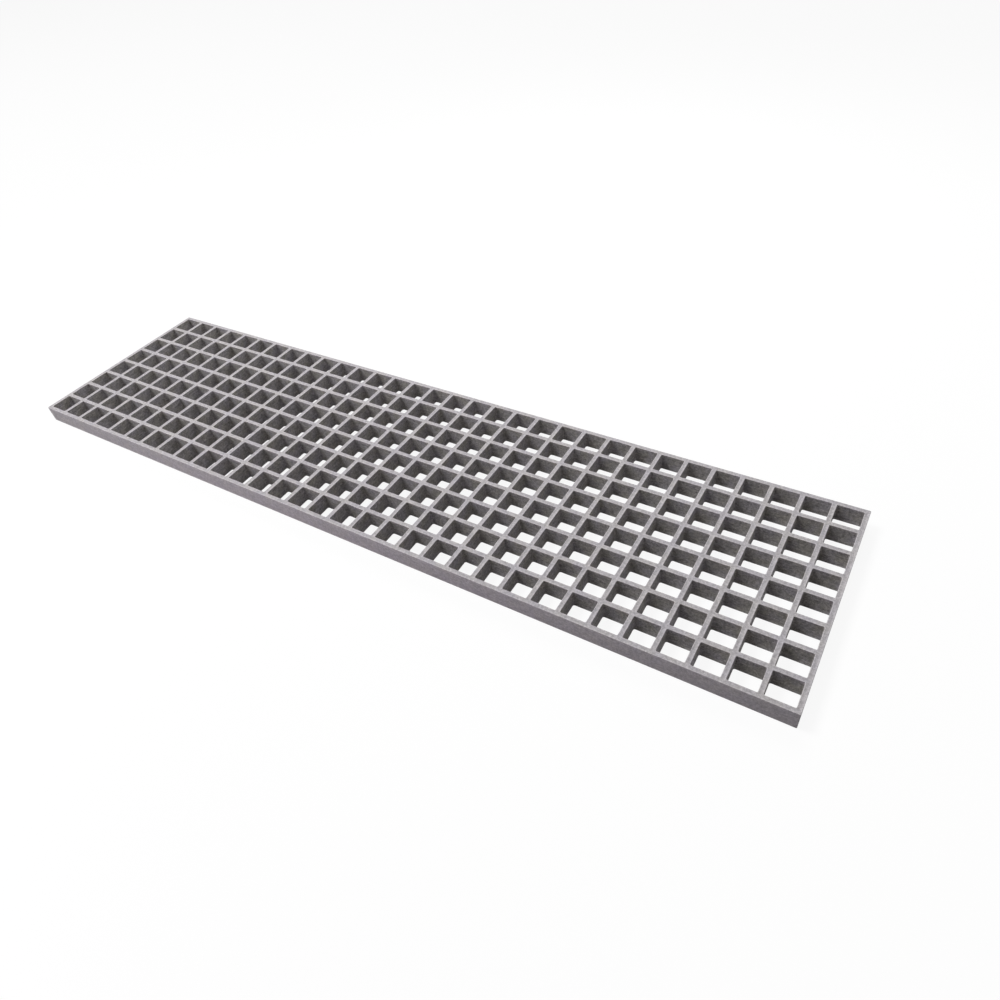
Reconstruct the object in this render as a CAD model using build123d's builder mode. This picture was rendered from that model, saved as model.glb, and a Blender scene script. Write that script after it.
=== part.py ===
from build123d import *

import os
from math import atan, degrees

# Moulded fibreglass grating panel.
# It is one moulding: a grid of tapered bars with square cells that are open right through.
# +X runs along the panel, +Y across it and +Z up to the walking surface.
# The origin is the middle of the underside. Sizes are in millimetres and degrees.

# Overall size, over the outer faces of the edge bars
panel_length = 1219.2
panel_width = 304.8
panel_depth = 25.4

# The mesh
cells_along = 32
cells_across = 8

# A bar is widest at the walking surface and tapers down to its foot, so that the mould lets it go
bar_top = 6.0
bar_foot = 5.0

# Crossing bars run into each other through a fillet, which is one flat across each corner of a cell
corner_flat = 1.3

# Worked out from the sizes above
pitch_along = (panel_length - bar_top) / cells_along
pitch_across = (panel_width - bar_top) / cells_across
bar_draft = degrees(atan((bar_top - bar_foot) / 2 / panel_depth))

# The space inside one cell, from the foot of its bars up to the walking surface
with BuildPart() as cell_space:
    with BuildSketch() as cell_outline:
        Rectangle(pitch_along - bar_foot, pitch_across - bar_foot)
        chamfer(cell_outline.vertices(), corner_flat)
    extrude(amount=panel_depth, taper=bar_draft)

# The whole slab, with its cells opened through it
with BuildPart() as grating_panel:
    with BuildSketch():
        Rectangle(panel_length, panel_width)
    extrude(amount=panel_depth)
    with GridLocations(pitch_along, pitch_across, cells_along, cells_across):
        add(cell_space.part, mode=Mode.SUBTRACT)

grating_panel.part.label = "grating_panel"

os.makedirs("parts", exist_ok=True)
export_step(grating_panel.part, "parts/grating_panel.step")
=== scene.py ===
"""A moulded fibreglass grating panel and the studio that it lies in.

The panel is one moulding. Its tapered bars have rounded lips and feet, filleted crossings, and the
shallow groove that the resin leaves along the top of each bar as it cures. Lengths are in metres.
"""

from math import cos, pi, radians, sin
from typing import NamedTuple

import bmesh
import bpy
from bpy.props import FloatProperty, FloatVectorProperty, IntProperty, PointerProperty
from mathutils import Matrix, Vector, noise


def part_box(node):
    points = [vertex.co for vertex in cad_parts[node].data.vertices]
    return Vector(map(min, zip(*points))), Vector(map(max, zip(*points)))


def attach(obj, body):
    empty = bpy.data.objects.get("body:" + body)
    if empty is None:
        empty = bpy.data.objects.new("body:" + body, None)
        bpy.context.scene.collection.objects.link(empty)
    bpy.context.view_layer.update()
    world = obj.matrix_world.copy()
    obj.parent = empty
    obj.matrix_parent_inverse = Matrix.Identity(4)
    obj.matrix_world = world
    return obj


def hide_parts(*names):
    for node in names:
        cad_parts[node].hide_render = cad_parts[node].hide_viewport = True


bl_info = {
    "name": "Moulded Grating Panel",
    "version": (1, 0, 0),
    "blender": (4, 5, 0),
    "location": "View3D > Sidebar > Grating",
    "description": "Builds a moulded fibreglass grating panel and a plain studio round it",
    "category": "Mesh",
}

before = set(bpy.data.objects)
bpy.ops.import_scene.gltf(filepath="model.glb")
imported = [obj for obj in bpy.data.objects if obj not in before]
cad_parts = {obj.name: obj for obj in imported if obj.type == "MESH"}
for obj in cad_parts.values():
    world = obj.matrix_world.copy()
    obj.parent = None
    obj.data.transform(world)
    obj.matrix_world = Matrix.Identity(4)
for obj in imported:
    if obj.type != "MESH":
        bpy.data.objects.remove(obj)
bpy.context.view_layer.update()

PANEL_NODE = "grating_panel"
PANEL_LOW, PANEL_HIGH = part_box(PANEL_NODE)
PANEL_SIZE = PANEL_HIGH - PANEL_LOW
WHITE = (1.0, 1.0, 1.0, 1.0)


# Sizes and colours that a user would change

class MouldingSizes(bpy.types.PropertyGroup):
    """The sizes of the moulding"""

    length: FloatProperty(
        name="Length",
        description="Over the outer faces of the two end bars",
        default=PANEL_SIZE.x, min=0.1, unit="LENGTH",
    )
    width: FloatProperty(
        name="Width",
        description="Over the outer faces of the two side bars",
        default=PANEL_SIZE.y, min=0.1, unit="LENGTH",
    )
    depth: FloatProperty(
        name="Depth",
        description="From the foot of the bars to the walking surface",
        default=PANEL_SIZE.z, min=0.01, unit="LENGTH",
    )
    cells_along: IntProperty(
        name="Cells Along",
        description="Number of cells in the length of the panel",
        default=32, min=1,
    )
    cells_across: IntProperty(
        name="Cells Across",
        description="Number of cells in the width of the panel",
        default=8, min=1,
    )
    bar_top: FloatProperty(
        name="Bar Top",
        description="Thickness of a bar at the walking surface",
        default=0.006, min=0.002, precision=4, unit="LENGTH",
    )
    bar_foot: FloatProperty(
        name="Bar Foot",
        description="Thickness of a bar at its foot, less than at its top so that the mould lets it go",
        default=0.005, min=0.002, precision=4, unit="LENGTH",
    )
    corner_top: FloatProperty(
        name="Corner Top",
        description="Radius in the corner of a cell at the walking surface",
        default=0.0014, min=0.0001, precision=4, unit="LENGTH",
    )
    corner_foot: FloatProperty(
        name="Corner Foot",
        description="Radius in the corner of a cell at the foot of the bars",
        default=0.0019, min=0.0001, precision=4, unit="LENGTH",
    )
    lip_radius: FloatProperty(
        name="Lip Radius",
        description="Rounding of the edges at the walking surface",
        default=0.0006, min=0.0001, precision=4, unit="LENGTH",
    )
    foot_radius: FloatProperty(
        name="Foot Radius",
        description="Rounding of the edges at the foot of the bars",
        default=0.0008, min=0.0001, precision=4, unit="LENGTH",
    )
    arris_radius: FloatProperty(
        name="Arris Radius",
        description="Rounding of the four upright outer corners of the panel",
        default=0.001, min=0.0001, precision=4, unit="LENGTH",
    )
    groove_depth: FloatProperty(
        name="Groove Depth",
        description="How far the resin sinks along the middle of a bar as it cures",
        default=0.0005, min=0.0, precision=5, unit="LENGTH",
    )
    groove_change: FloatProperty(
        name="Groove Change",
        description="How much the groove's depth wanders, as a share of it",
        default=0.5, min=0.0, max=1.0, subtype="FACTOR",
    )


class ResinFinish(bpy.types.PropertyGroup):
    """The colours and the surface of the resin"""

    warm_grey: FloatVectorProperty(
        name="Warm Grey",
        description="Colour of the filled resin where it is warmest",
        default=(0.491, 0.468, 0.471), size=3, min=0.0, max=1.0, subtype="COLOR",
    )
    cool_grey: FloatVectorProperty(
        name="Cool Grey",
        description="Colour that the resin drifts to in faint clouds",
        default=(0.468, 0.447, 0.473), size=3, min=0.0, max=1.0, subtype="COLOR",
    )
    strand_contrast: FloatProperty(
        name="Strand Contrast",
        description="How clearly the glass strands show along the walls of each bar",
        default=0.24, min=0.0, max=1.0, subtype="FACTOR",
    )
    mottle_contrast: FloatProperty(
        name="Mottle Contrast",
        description="How clearly patches of thicker and thinner resin show",
        default=0.34, min=0.0, max=1.0, subtype="FACTOR",
    )
    speckle_contrast: FloatProperty(
        name="Speckle Contrast",
        description="How clearly the grains of filler show",
        default=0.44, min=0.0, max=1.0, subtype="FACTOR",
    )
    # Painted highlight: the lips of the bars are coloured lighter, where their rounded edges would catch
    # the light
    lip_painted_highlight: FloatProperty(
        name="Lip Painted Highlight",
        description="How much lighter the lips of the bars are rubbed",
        default=0.11, min=0.0, max=1.0, subtype="FACTOR",
    )
    cell_grit: FloatProperty(
        name="Cell Grit",
        description="How much more the strands and grains show on the walls of the cells than elsewhere",
        default=0.7, min=0.0, max=3.0,
    )
    # Painted shade: the walls inside the cells are coloured darker and yellower
    cell_painted_shade: FloatVectorProperty(
        name="Cell Painted Shade",
        description="Painted shade, darker and yellower, on the walls of the cells, fullest where the resin is warmest",
        default=(0.90, 0.90, 0.84), size=3, min=0.0, max=1.0, subtype="COLOR",
    )
    # Painted shade: the resin is coloured darker along the groove in the middle of each bar's top
    groove_painted_shade: FloatProperty(
        name="Groove Painted Shade",
        description="How much darker the resin is along the grooves, painted as shade",
        default=0.12, min=0.0, max=1.0, subtype="FACTOR",
    )
    # Painted shade: upright faces are coloured darker than level ones
    wall_painted_shade: FloatProperty(
        name="Wall Painted Shade",
        description="How much darker the walls are painted, as shade on upright faces",
        default=0.05, min=0.0, max=1.0, subtype="FACTOR",
    )
    relief: FloatProperty(
        name="Relief",
        description="Height of the strands and grains that show through the surface",
        default=0.0003, min=0.0, precision=5, unit="LENGTH",
    )


class StudioSettings(bpy.types.PropertyGroup):
    """The camera, the lamps and the floor"""

    eye: FloatVectorProperty(
        name="Eye",
        description="Where the camera stands",
        default=(0.6101, -0.5720, 0.6879), size=3, precision=4, subtype="TRANSLATION", unit="LENGTH",
    )
    aim: FloatVectorProperty(
        name="Aim",
        description="Point of the walking surface that the camera looks at",
        default=(0.2114, -0.0107, 0.0254), size=3, precision=4, subtype="TRANSLATION", unit="LENGTH",
    )
    roll: FloatProperty(
        name="Roll",
        description="How far the camera is turned about its own line of sight",
        default=radians(-7.306), subtype="ANGLE",
    )
    lens: FloatProperty(
        name="Lens",
        description="Focal length in millimetres, on a sensor 36 mm wide",
        default=26.505, min=5.0,
    )
    shift: FloatVectorProperty(
        name="Shift",
        description="Shift of the picture, as a share of its width",
        default=(-0.0186, -0.0005), size=2, precision=4,
    )
    sky_level: FloatProperty(
        name="Sky Level",
        description="Brightness of the even light from all round",
        default=0.01, min=0.0,
    )
    key_power: FloatProperty(
        name="Key Power",
        description="Power of the large softbox high on the left",
        default=200.0, min=0.0, unit="POWER",
    )
    back_power: FloatProperty(
        name="Back Power",
        description="Power of the softbox behind the panel",
        default=13.5, min=0.0, unit="POWER",
    )
    strip_power: FloatProperty(
        name="Strip Power",
        description="Power of the low strip in front of the panel's middle",
        default=1.1, min=0.0, unit="POWER",
    )
    strip_tint: FloatVectorProperty(
        name="Strip Tint",
        description="Colour of the low strip, which is faintly violet on the front edge",
        default=(1.0, 0.78, 1.0), size=3, min=0.0, max=1.0, subtype="COLOR",
    )
    fill_power: FloatProperty(
        name="Fill Power",
        description="Power of the softbox off the front left corner",
        default=0.8, min=0.0, unit="POWER",
    )
    end_power: FloatProperty(
        name="End Power",
        description="Power of the low softbox off the right end",
        default=2.6, min=0.0, unit="POWER",
    )
    floor_grey: FloatProperty(
        name="Floor Grey",
        description="How much light the floor throws back up on the panel",
        default=0.50, min=0.0, max=1.0, subtype="FACTOR",
    )
    floor_shadow: FloatProperty(
        name="Floor Shadow",
        description="How clearly the panel's shadow shows on the pale floor",
        default=0.08, min=0.0, max=1.0, subtype="FACTOR",
    )


# The moulding

# Straight steps in the round of a cell's corner, which are an even number so that one point lies on
# the crossing of two middle lines, then of the panel's upright corners, and of a lip or foot
CORNER_STEPS = 6
ARRIS_STEPS = 2
EDGE_STEPS = 2

# Where the groove has its rings, as shares of the way from the middle of a bar to its lip
GROOVE_SHARES = (0.0, 0.5, 0.85)

# How often the groove's depth wanders in each metre, slowly and quickly, and the quick part's share
SLOW_WANDER = 40
QUICK_WANDER = 170
QUICK_SHARE = 0.5

# Points of neighbouring cells that are nearer than this become one
WELD_DISTANCE = 1e-6


def quarter_turn(steps):
    """The angles of a quarter turn, from none to the whole of it"""
    return [pi / 2 * step / steps for step in range(steps + 1)]


def all_round(quarter, along, across):
    """A closed ring of points from those of its first corner and the side that follows it.

    quarter(this, next) gives them from what is known of that side and of the side after it, such as
    their half lengths. Each quarter is turned a right angle further than the last.
    """
    ring = []
    for turn in range(4):
        sides = (across, along) if turn % 2 else (along, across)
        for x, y in quarter(*sides):
            for _ in range(turn):
                x, y = -y, x
            ring.append((x, y))
    return ring


def filleted_ring(half_x, half_y, radius):
    """The outline of a cell: a rectangle with round corners and a point halfway along each side"""

    def quarter(a, b):
        corner = [
            (a - radius + radius * cos(turn), b - radius + radius * sin(turn))
            for turn in quarter_turn(CORNER_STEPS)
        ]
        return corner + [(0.0, b)]

    return all_round(quarter, half_x, half_y)


def middle_ring(half_x, half_y, reach):
    """The same points carried out to the middle lines of the bars, where neighbouring cells meet.

    reach is how far from the crossing the outline of the cell starts to turn.
    """
    half_steps = CORNER_STEPS // 2
    inset = [reach * step / half_steps for step in range(half_steps + 1)]

    def quarter(a, b):
        corner = [(a, b - back) for back in reversed(inset)]
        corner += [(a - back, b) for back in inset[1:]]
        return corner + [(0.0, b)]

    return all_round(quarter, half_x, half_y)


class MiddleLine(NamedTuple):
    """The middle line of an edge bar: half its length, and where the rings of the cells touch it"""

    half: float
    stations: list


def border_ring(along, across, out, radius):
    """The outline of the panel, a distance out from the middle lines of its edge bars"""

    def quarter(line, next_line):
        centre = out - radius
        corner = [
            (line.half + centre + radius * cos(turn), next_line.half + centre + radius * sin(turn))
            for turn in quarter_turn(ARRIS_STEPS)
        ]
        return corner + [(station, next_line.half + out) for station in line.stations]

    return all_round(quarter, along, across)


def cell_middle(cell, cells, pitch):
    """Where the middle of a cell lies along one axis, counted from the middle of the panel"""
    return (cell - (cells - 1) / 2) * pitch


def middle_line(pitch, cells, reach):
    """The middle line beside a row of cells, with its stations from the far end back"""
    half_steps = CORNER_STEPS // 2
    one_side = [pitch / 2 - reach * step / half_steps for step in range(half_steps + 1)]
    one_cell = one_side + [0.0] + [-along for along in reversed(one_side)]
    stations = []
    for cell in reversed(range(cells)):
        middle = cell_middle(cell, cells, pitch)
        stations += [middle + along for along in one_cell[:-1]]
    half = pitch * cells / 2
    return MiddleLine(half, stations + [-half])


def off_bar(place, cells, pitch):
    """How far a coordinate is from the middle line of the nearest bar"""
    return abs((place / pitch + cells / 2 + 0.5) % 1 - 0.5) * pitch


def blend_rings(first, second, share):
    """Points that lie a share of the way from one ring to another"""
    return [(a[0] + (b[0] - a[0]) * share, a[1] + (b[1] - a[1]) * share) for a, b in zip(first, second)]


class Ring(NamedTuple):
    """A ring of points at one height, with how much it belongs to a lip, a groove or a cell's wall"""

    outline: list
    height: float
    lip: float = 0.0
    groove: float = 0.0
    wall: float = 0.0


class Moulding:
    """Gathers the rings of the mesh, each point with what its place on the bar is"""

    def __init__(self, sizes):
        self.sizes = sizes
        self.pitch_x = (sizes.length - sizes.bar_top) / sizes.cells_along
        self.pitch_y = (sizes.width - sizes.bar_top) / sizes.cells_across
        self.crest = sizes.bar_top / 2 - sizes.lip_radius
        self.reach = self.crest + sizes.corner_top + sizes.lip_radius
        self.bm = bmesh.new()
        self.lip = self.bm.verts.layers.float.new("lip")
        self.groove = self.bm.verts.layers.float.new("groove")
        self.cell_wall = self.bm.verts.layers.float.new("cell_wall")
        self.runs_along = self.bm.verts.layers.float.new("runs_along")

    def wall_offset(self, height):
        """Half the thickness of a bar at a height above its foot"""
        sizes = self.sizes
        share = height / sizes.depth
        return (sizes.bar_foot + (sizes.bar_top - sizes.bar_foot) * share) / 2

    def corner_radius(self, height):
        """Radius of a cell's corner at a height above the foot of the bars"""
        sizes = self.sizes
        share = height / sizes.depth
        return sizes.corner_foot + (sizes.corner_top - sizes.corner_foot) * share

    def groove_heights(self):
        """(share of the way from the middle line to the lip, height, share of the groove's depth)"""
        for share in GROOVE_SHARES:
            sunk = 1 - share ** 2
            yield share, self.sizes.depth - self.sizes.groove_depth * sunk, sunk

    def wall_line(self, foot_radius):
        """(height, set back from the wall, lip) down a wall, from the crest of the lip to the foot"""
        sizes = self.sizes
        turns = quarter_turn(EDGE_STEPS)
        for turn in turns:
            back = sizes.lip_radius * (1 - sin(turn))
            yield sizes.depth - sizes.lip_radius * (1 - cos(turn)), back, cos(turn)
        yield sizes.depth / 2, 0.0, 0.0
        for turn in reversed(turns):
            yield foot_radius * (1 - cos(turn)), foot_radius * (1 - sin(turn)), 0.0

    def cell_rings(self):
        """The rings of one cell, from the middle lines of its bars down to their feet and back"""
        half_x, half_y = self.pitch_x / 2, self.pitch_y / 2
        middle = middle_ring(half_x, half_y, self.reach)
        walls = []
        for height, back, lip in self.wall_line(self.sizes.foot_radius):
            inset = self.wall_offset(height) - back
            outline = filleted_ring(half_x - inset, half_y - inset, self.corner_radius(height) + back)
            walls.append(Ring(outline, height, lip=lip, wall=1.0))
        crest = walls[0].outline
        top = [Ring(blend_rings(middle, crest, share), height, groove=sunk)
               for share, height, sunk in self.groove_heights()]
        return top + walls + [Ring(middle, 0.0)]

    def border_rings(self):
        """The rings round the edge of the panel, from the middle lines of its edge bars outward"""
        sizes = self.sizes
        along = middle_line(self.pitch_x, sizes.cells_along, self.reach)
        across = middle_line(self.pitch_y, sizes.cells_across, self.reach)

        def outline(out):
            radius = sizes.arris_radius * out / (sizes.bar_top / 2)
            return border_ring(along, across, out, radius)

        top = [Ring(outline(self.crest * share), height, groove=sunk)
               for share, height, sunk in self.groove_heights()]
        walls = [Ring(outline(sizes.bar_top / 2 - back), height, lip=lip)
                 for height, back, lip in self.wall_line(sizes.lip_radius)]
        return top + walls + [Ring(outline(0.0), 0.0)]

    def add_ring(self, ring, middle_x, middle_y):
        """Adds a ring's points round a middle, and gives their vertices"""
        made = []
        for x, y in ring.outline:
            vert = self.bm.verts.new((middle_x + x, middle_y + y, ring.height))
            vert[self.lip] = ring.lip
            vert[self.groove] = ring.groove
            vert[self.cell_wall] = ring.wall
            vert[self.runs_along] = self.share_along(vert.co)
            made.append(vert)
        return made

    def share_along(self, place):
        """1 on a bar that runs along the panel, 0 on one that crosses it, and between at a crossing"""
        off_x = off_bar(place.x, self.sizes.cells_along, self.pitch_x)
        off_y = off_bar(place.y, self.sizes.cells_across, self.pitch_y)
        return min(1.0, max(0.0, 0.5 + (off_x - off_y) / self.sizes.bar_top))

    def skin(self, rings, middle_x=0.0, middle_y=0.0, outward=False):
        """Joins each ring to the next with a band of faces"""
        made = [self.add_ring(ring, middle_x, middle_y) for ring in rings]
        for first, second in zip(made, made[1:]):
            for here in range(len(first)):
                after = (here + 1) % len(first)
                band = (first[here], first[after], second[after], second[here])
                self.bm.faces.new(reversed(band) if outward else band)

    def uneven(self):
        """Lets the depth of the groove wander from place to place, as cured resin does"""
        sizes = self.sizes
        for vert in self.bm.verts:
            if vert[self.groove]:
                wander = noise.noise(vert.co * SLOW_WANDER)
                wander += QUICK_SHARE * noise.noise(vert.co * QUICK_WANDER)
                vert.co.z -= sizes.groove_depth * sizes.groove_change * wander * vert[self.groove]

    def mesh(self):
        """The finished mesh of the whole panel"""
        sizes = self.sizes
        rings = self.cell_rings()
        for column in range(sizes.cells_along):
            for row in range(sizes.cells_across):
                middle_x = cell_middle(column, sizes.cells_along, self.pitch_x)
                middle_y = cell_middle(row, sizes.cells_across, self.pitch_y)
                self.skin(rings, middle_x, middle_y)
        self.skin(self.border_rings(), outward=True)
        bmesh.ops.remove_doubles(self.bm, verts=self.bm.verts, dist=WELD_DISTANCE)
        self.uneven()
        mesh = bpy.data.meshes.new("moulded_grating")
        self.bm.to_mesh(mesh)
        self.bm.free()
        mesh.shade_smooth()
        return mesh


# The resin

# How often strands of glass change along their run and across it, in each metre
STRAND_RUN = 70.0
STRAND_PITCH = 520.0

# How much of the strands the resin on top of a bar hides
STRAND_VEIL = 0.6

# How often the clouds of hue, the mottle and the grains change, in each metre
CLOUD_SCALE = 60.0
MOTTLE_SCALE = 330.0
GRAIN_SCALE = 900.0
GRAIN_ROUGHNESS = 0.65

# Between these values the noises do most of their changing
NOISE_LOW = 0.3
NOISE_HIGH = 0.7
CLOUD_LOW = 0.35
CLOUD_HIGH = 0.65

# No grain is darker than this share of the resin's colour
DARKEST_GRAIN = 0.3

# How dull the surface is on smooth and on coarse grains, and how little it mirrors
LEAST_ROUGHNESS = 0.6
MOST_ROUGHNESS = 0.78
SPECULAR_LEVEL = 0.10

# Shares of the relief that the grains, the mottle and the strands make, and how firmly it shows
GRAIN_HEIGHT = 0.4
MOTTLE_HEIGHT = 0.3
STRAND_HEIGHT = 0.3
RELIEF_STRENGTH = 0.7

# How the nodes are laid out on the editor's grid
NODES_IN_ROW = 8
NODE_WIDTH = 220
NODE_HEIGHT = 260


class NodeBench:
    """Adds nodes to a material and wires them up, row by row"""

    def __init__(self, tree):
        self.tree = tree
        self.tree.nodes.clear()
        self.made = 0

    def add(self, kind, inputs=None, **settings):
        """Adds a node. inputs gives each named or numbered socket a value or another node's output."""
        node = self.tree.nodes.new(kind)
        row, column = divmod(self.made, NODES_IN_ROW)
        node.location = (NODE_WIDTH * column, -NODE_HEIGHT * row)
        self.made += 1
        for name, value in settings.items():
            setattr(node, name, value)
        for socket, value in (inputs or {}).items():
            if isinstance(value, bpy.types.NodeSocket):
                self.tree.links.new(value, node.inputs[socket])
            else:
                node.inputs[socket].default_value = value
        return node

    def math(self, operation, first, second=0.0, third=0.0):
        """The sum, product or other outcome of up to three values"""
        return self.add("ShaderNodeMath", {0: first, 1: second, 2: third}, operation=operation).outputs[0]

    def mix_values(self, factor, first, second):
        """The value that lies between two others"""
        return self.add("ShaderNodeMix", {"Factor": factor, "A": first, "B": second}).outputs["Result"]

    def mix_colours(self, factor, first, second, blend="MIX"):
        """The colour between two others, or their product, through the node's colour sockets"""
        node = self.add(
            "ShaderNodeMix", {0: factor, 6: first, 7: second}, data_type="RGBA", blend_type=blend
        )
        return node.outputs[2]

    def mix_shaders(self, factor, first, second):
        """A surface or light that is partly one shader and partly another"""
        return self.add("ShaderNodeMixShader", {0: factor, 1: first, 2: second}).outputs[0]

    def noise(self, place, scale, detail, roughness=0.5):
        """A cloudy value from about 0 to 1, with a number of finer octaves"""
        sockets = {"Vector": place, "Scale": scale, "Detail": detail, "Roughness": roughness}
        return self.add("ShaderNodeTexNoise", sockets).outputs["Fac"]

    def spread(self, value, low, high, to_low=0.0, to_high=1.0):
        """Maps the range from low to high onto another, and holds what lies past its ends"""
        sockets = {"Value": value, "From Min": low, "From Max": high, "To Min": to_low, "To Max": to_high}
        return self.add("ShaderNodeMapRange", sockets).outputs["Result"]

    def around_one(self, value, contrast):
        """Spreads a noise to either side of one, as widely as its contrast says"""
        return self.spread(value, NOISE_LOW, NOISE_HIGH, 1 - contrast / 2, 1 + contrast / 2)

    def attribute(self, name):
        """A value that the mesh holds at each of its points"""
        return self.add("ShaderNodeAttribute", attribute_name=name).outputs["Fac"]


class ResinNoises(NamedTuple):
    """The noises that the resin's shade, gloss and relief share"""

    strands: bpy.types.NodeSocket
    mottle: bpy.types.NodeSocket
    grains: bpy.types.NodeSocket


class ResinPlaces(NamedTuple):
    """Values from 0 to 1 for how far a point lies on a level face, and on a wall of a cell"""

    level: bpy.types.NodeSocket
    inside: bpy.types.NodeSocket


def resin_places(bench):
    """Tells level faces from walls by which way they face, and the cells' walls by the mesh"""
    normal = bench.add("ShaderNodeNewGeometry").outputs["Normal"]
    facing = bench.add("ShaderNodeSeparateXYZ", {0: normal})
    level = bench.math("ABSOLUTE", facing.outputs["Z"])
    upright = bench.math("SUBTRACT", 1.0, level)
    return ResinPlaces(level, bench.math("MULTIPLY", bench.attribute("cell_wall"), upright))


def strand_noise(bench, place, turn):
    """Streaks that run one way, for strands of glass that lie along a bar"""
    turned = bench.add("ShaderNodeMapping", {"Vector": place, "Rotation": (0.0, 0.0, turn)})
    scale = (STRAND_RUN, STRAND_PITCH, STRAND_PITCH)
    drawn_out = bench.add("ShaderNodeMapping", {"Vector": turned.outputs[0], "Scale": scale})
    return bench.noise(drawn_out.outputs[0], scale=1.0, detail=2.0)


def glass_strands(bench, place, level):
    """Strands that run along each bar, and show on its walls more than through its top"""
    crossing = strand_noise(bench, place, pi / 2)
    along = strand_noise(bench, place, 0.0)
    strands = bench.mix_values(bench.attribute("runs_along"), crossing, along)
    return bench.mix_values(bench.math("MULTIPLY", level, STRAND_VEIL), strands, 0.5)


def resin_shade(bench, finish, noises, places):
    """How light the resin is: its grain, coarser inside the cells, then a painted highlight on the lips,
    painted shade along the grooves and painted shade on upright faces
    """
    mottled = bench.math(
        "MULTIPLY",
        bench.around_one(noises.mottle, finish.mottle_contrast),
        bench.around_one(noises.grains, finish.speckle_contrast),
    )
    texture = bench.math("MULTIPLY", bench.around_one(noises.strands, finish.strand_contrast), mottled)
    gain = bench.math("MULTIPLY_ADD", places.inside, finish.cell_grit, 1.0)
    shade = bench.math("MULTIPLY_ADD", bench.math("SUBTRACT", texture, 1.0), gain, 1.0)
    shade = bench.math("MAXIMUM", shade, DARKEST_GRAIN)

    # Painted highlight on the lips of the bars, and painted shade along their grooves
    painted = bench.math("MULTIPLY", bench.attribute("lip"), finish.lip_painted_highlight)
    shaded_grooves = bench.math("MULTIPLY", bench.attribute("groove"), finish.groove_painted_shade)
    shade = bench.math("MULTIPLY", shade, bench.math("ADD", bench.math("SUBTRACT", painted, shaded_grooves), 1.0))
    # Painted shade: upright faces are darker than level ones
    walls = bench.spread(places.level, 0.0, 1.0, to_low=1 - finish.wall_painted_shade)
    return bench.math("MULTIPLY", shade, walls)


def resin_tint(bench, finish, place, inside):
    """Grey that drifts between warm and cool, with a painted shade, darker and yellower, on the walls of
    the cells
    """
    clouds = bench.noise(place, CLOUD_SCALE, detail=3.0)
    drift = bench.spread(clouds, CLOUD_LOW, CLOUD_HIGH)
    grey = bench.mix_colours(drift, (*finish.cool_grey, 1.0), (*finish.warm_grey, 1.0))
    # Painted shade: the walls of the cells are coloured darker and yellower, most where the resin is
    # warmest
    shaded_cells = bench.math("MULTIPLY", inside, drift)
    return bench.mix_colours(shaded_cells, grey, (*finish.cell_painted_shade, 1.0), blend="MULTIPLY")


def resin_relief(bench, finish, noises):
    """The grains, mottle and strands standing up a little from the surface"""
    coarse = bench.math("MULTIPLY", noises.grains, GRAIN_HEIGHT)
    soft = bench.math("MULTIPLY", noises.mottle, MOTTLE_HEIGHT)
    streaks = bench.math("MULTIPLY", noises.strands, STRAND_HEIGHT)
    height = bench.math("ADD", bench.math("ADD", coarse, soft), streaks)
    bump = bench.add(
        "ShaderNodeBump", {"Height": height, "Strength": RELIEF_STRENGTH, "Distance": finish.relief}
    )
    return bump.outputs["Normal"]


def resin_material(finish):
    """Grey filled resin over glass strands, dull and faintly grained"""
    material = bpy.data.materials.new("grey_filled_resin")
    material.use_nodes = True
    bench = NodeBench(material.node_tree)
    place = bench.add("ShaderNodeTexCoord").outputs["Object"]
    places = resin_places(bench)
    noises = ResinNoises(
        strands=glass_strands(bench, place, places.level),
        mottle=bench.noise(place, MOTTLE_SCALE, detail=2.0),
        grains=bench.noise(place, GRAIN_SCALE, detail=3.0, roughness=GRAIN_ROUGHNESS),
    )
    tint = resin_tint(bench, finish, place, places.inside)
    shade = resin_shade(bench, finish, noises, places)
    colour = bench.add("ShaderNodeVectorMath", {0: tint, "Scale": shade}, operation="SCALE")
    roughness = bench.spread(noises.grains, NOISE_LOW, NOISE_HIGH, LEAST_ROUGHNESS, MOST_ROUGHNESS)
    shader = bench.add(
        "ShaderNodeBsdfPrincipled",
        {
            "Base Color": colour.outputs[0],
            "Roughness": roughness,
            "Specular IOR Level": SPECULAR_LEVEL,
            "Normal": resin_relief(bench, finish, noises),
        },
    )
    bench.add("ShaderNodeOutputMaterial", {"Surface": shader.outputs["BSDF"]})
    return material


# The studio

# The floor is square, and lies a hair under the foot of the bars
FLOOR_HALF_SIDE = 12.0
FLOOR_GAP = 0.0002

# Width of the camera's sensor in millimetres, and the nearest that it sees in metres
SENSOR_WIDTH = 36.0
NEAREST_SEEN = 0.01


class Softbox(NamedTuple):
    """Where a soft lamp stands, how wide and high it is, what it is aimed at and how far it spreads"""

    place: tuple
    width: float
    height: float
    aim: tuple = (0.0, 0.0, 0.0)
    spread: float = pi


KEY_SOFTBOX = Softbox((-2.35, -0.45, 4.35), 1.5, 1.5)
BACK_SOFTBOX = Softbox((0.0, 1.15, 1.25), 0.9, 0.9)
FRONT_STRIP = Softbox((-0.10, -0.95, 0.08), 0.5, 0.2)
FRONT_FILL = Softbox((-1.04, -1.04, 0.85), 0.8, 0.8, aim=(-0.45, 0.0, 0.0), spread=radians(70))
END_SOFTBOX = Softbox((1.69, 0.0, 0.15), 0.8, 0.8)


def seen_directly(bench):
    """1 for rays that show the floor or the sky as a background, and 0 for those that light things"""
    rays = bench.add("ShaderNodeLightPath").outputs
    mirrored = bench.math("MAXIMUM", rays["Is Glossy Ray"], rays["Is Transmission Ray"])
    return bench.math("MAXIMUM", rays["Is Camera Ray"], mirrored)


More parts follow.
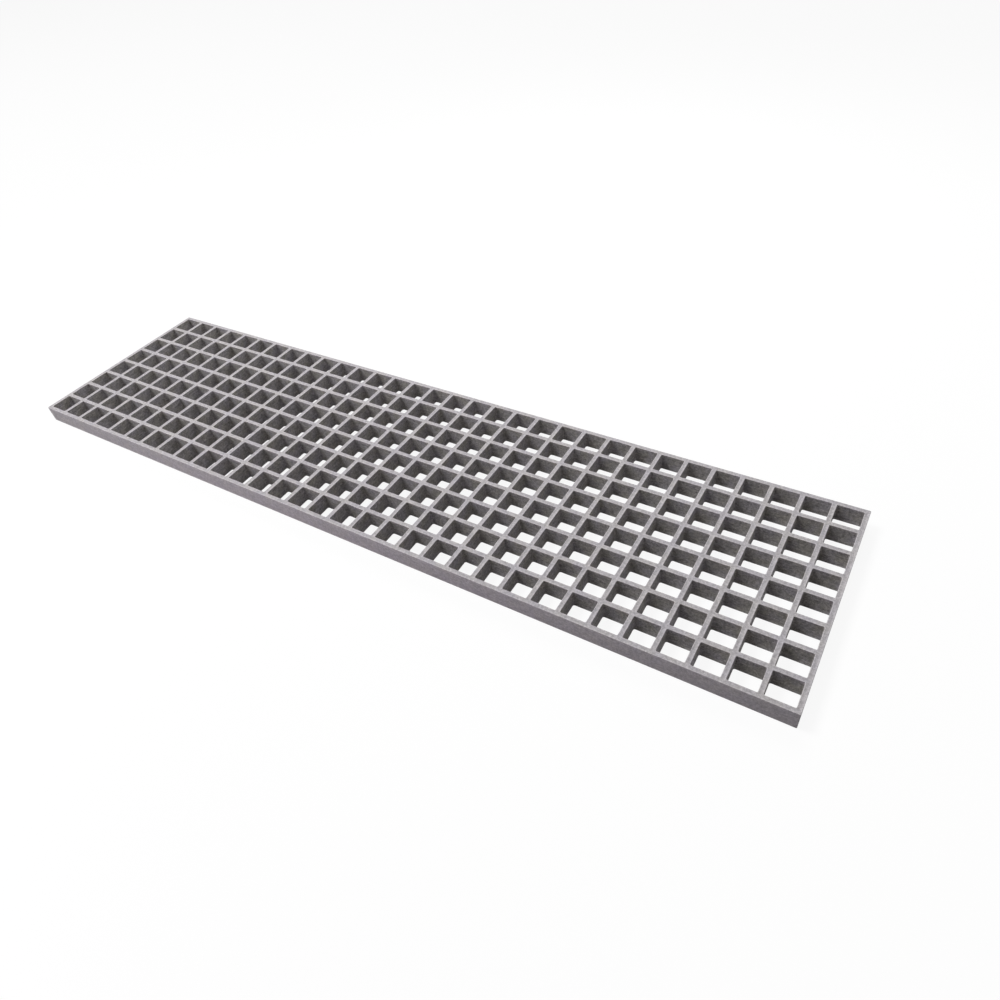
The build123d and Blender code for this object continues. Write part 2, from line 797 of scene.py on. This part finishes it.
def add_sky(studio):
    """An even light from all round, behind which the background is white"""
    world = bpy.data.worlds.new("studio_sky")
    world.use_nodes = True
    bench = NodeBench(world.node_tree)
    light = bench.add("ShaderNodeBackground", {"Color": WHITE, "Strength": studio.sky_level})
    paper = bench.add("ShaderNodeBackground", {"Color": WHITE, "Strength": 1.0})
    chosen = bench.mix_shaders(seen_directly(bench), light.outputs[0], paper.outputs[0])
    bench.add("ShaderNodeOutputWorld", {"Surface": chosen})
    bpy.context.scene.world = world


def floor_material(studio):
    """A pale floor, nearly white to the eye, that takes a faint shadow and throws back little light"""
    material = bpy.data.materials.new("pale_floor")
    material.use_nodes = True
    material.cycles.emission_sampling = "NONE"
    bench = NodeBench(material.node_tree)
    grey = (studio.floor_grey, studio.floor_grey, studio.floor_grey, 1.0)
    lit = bench.add("ShaderNodeBsdfDiffuse", {"Color": grey})
    paper = bench.add("ShaderNodeEmission", {"Color": WHITE, "Strength": 1.0})
    shaded = bench.add("ShaderNodeBsdfDiffuse", {"Color": WHITE})
    pale = bench.mix_shaders(studio.floor_shadow, paper.outputs[0], shaded.outputs[0])
    chosen = bench.mix_shaders(seen_directly(bench), lit.outputs[0], pale)
    bench.add("ShaderNodeOutputMaterial", {"Surface": chosen})
    return material


def add_floor(studio):
    """A wide plain floor for the panel to lie on"""
    half = FLOOR_HALF_SIDE
    level = PANEL_LOW.z - FLOOR_GAP
    corners = [(-half, -half, level), (half, -half, level), (half, half, level), (-half, half, level)]
    mesh = bpy.data.meshes.new("studio_floor")
    mesh.from_pydata(corners, [], [(0, 1, 2, 3)])
    mesh.materials.append(floor_material(studio))
    floor = bpy.data.objects.new("studio_floor", mesh)
    bpy.context.scene.collection.objects.link(floor)


def look_at(thing, place, target, roll=0.0):
    """Stands a camera or a lamp at a place and turns it to face a target"""
    thing.location = place
    facing = (Vector(target) - Vector(place)).to_track_quat("-Z", "Y").to_matrix()
    thing.rotation_euler = (facing @ Matrix.Rotation(roll, 3, "Z")).to_euler()


def add_softbox(name, softbox, power, tint=(1.0, 1.0, 1.0)):
    """A soft lamp, square to what it is aimed at"""
    lamp = bpy.data.lights.new(name, "AREA")
    lamp.color = tint
    lamp.shape = "RECTANGLE"
    lamp.size = softbox.width
    lamp.size_y = softbox.height
    lamp.spread = softbox.spread
    lamp.energy = power
    stand = bpy.data.objects.new(name, lamp)
    bpy.context.scene.collection.objects.link(stand)
    look_at(stand, softbox.place, softbox.aim)


def add_camera(studio):
    """The camera, where the photographer's stood"""
    lens = bpy.data.cameras.new("studio_camera")
    lens.sensor_width = SENSOR_WIDTH
    lens.lens = studio.lens
    lens.shift_x, lens.shift_y = studio.shift
    lens.clip_start = NEAREST_SEEN
    camera = bpy.data.objects.new("studio_camera", lens)
    bpy.context.scene.collection.objects.link(camera)
    look_at(camera, studio.eye, studio.aim, studio.roll)
    bpy.context.scene.camera = camera


# Operators, panel and registration

class GRATING_OT_mould_panel(bpy.types.Operator):
    """Mould the grating panel in one piece"""

    bl_idname = "grating.mould_panel"
    bl_label = "Mould Panel"

    def execute(self, context):
        mesh = Moulding(context.scene.grating_sizes).mesh()
        mesh.materials.append(resin_material(context.scene.grating_finish))
        panel = bpy.data.objects.new("moulded_grating", mesh)
        context.scene.collection.objects.link(panel)
        flats = panel.modifiers.new("keep_flats_flat", "WEIGHTED_NORMAL")
        flats.mode = "FACE_AREA"
        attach(panel, "root")
        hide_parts(PANEL_NODE)
        return {"FINISHED"}


class GRATING_OT_set_studio(bpy.types.Operator):
    """Set up the floor, the lamps and the camera"""

    bl_idname = "grating.set_studio"
    bl_label = "Set Studio"

    def execute(self, context):
        studio = context.scene.grating_studio
        add_sky(studio)
        add_floor(studio)
        add_softbox("key_softbox", KEY_SOFTBOX, studio.key_power)
        add_softbox("back_softbox", BACK_SOFTBOX, studio.back_power)
        add_softbox("front_strip", FRONT_STRIP, studio.strip_power, studio.strip_tint)
        add_softbox("front_fill", FRONT_FILL, studio.fill_power)
        add_softbox("end_softbox", END_SOFTBOX, studio.end_power)
        add_camera(studio)
        context.scene.view_settings.view_transform = "Standard"
        return {"FINISHED"}


class GRATING_PT_sidebar(bpy.types.Panel):
    """Lists the sizes, the finish and the studio, and the steps that use them"""

    bl_label = "Moulded Grating"
    bl_idname = "GRATING_PT_sidebar"
    bl_space_type = "VIEW_3D"
    bl_region_type = "UI"
    bl_category = "Grating"

    def draw(self, context):
        groups = (
            (context.scene.grating_sizes, "grating.mould_panel"),
            (context.scene.grating_finish, None),
            (context.scene.grating_studio, "grating.set_studio"),
        )
        for group, step in groups:
            box = self.layout.box()
            for name in group.bl_rna.properties.keys():
                if name not in {"rna_type", "name"}:
                    box.prop(group, name)
            if step:
                box.operator(step)


CLASSES = (
    MouldingSizes,
    ResinFinish,
    StudioSettings,
    GRATING_OT_mould_panel,
    GRATING_OT_set_studio,
    GRATING_PT_sidebar,
)


def register():
    for cls in CLASSES:
        bpy.utils.register_class(cls)
    bpy.types.Scene.grating_sizes = PointerProperty(type=MouldingSizes)
    bpy.types.Scene.grating_finish = PointerProperty(type=ResinFinish)
    bpy.types.Scene.grating_studio = PointerProperty(type=StudioSettings)


def unregister():
    del bpy.types.Scene.grating_studio
    del bpy.types.Scene.grating_finish
    del bpy.types.Scene.grating_sizes
    for cls in reversed(CLASSES):
        bpy.utils.unregister_class(cls)


def main():
    register()
    bpy.ops.grating.mould_panel()
    bpy.ops.grating.set_studio()


if __name__ == "__main__":
    main()
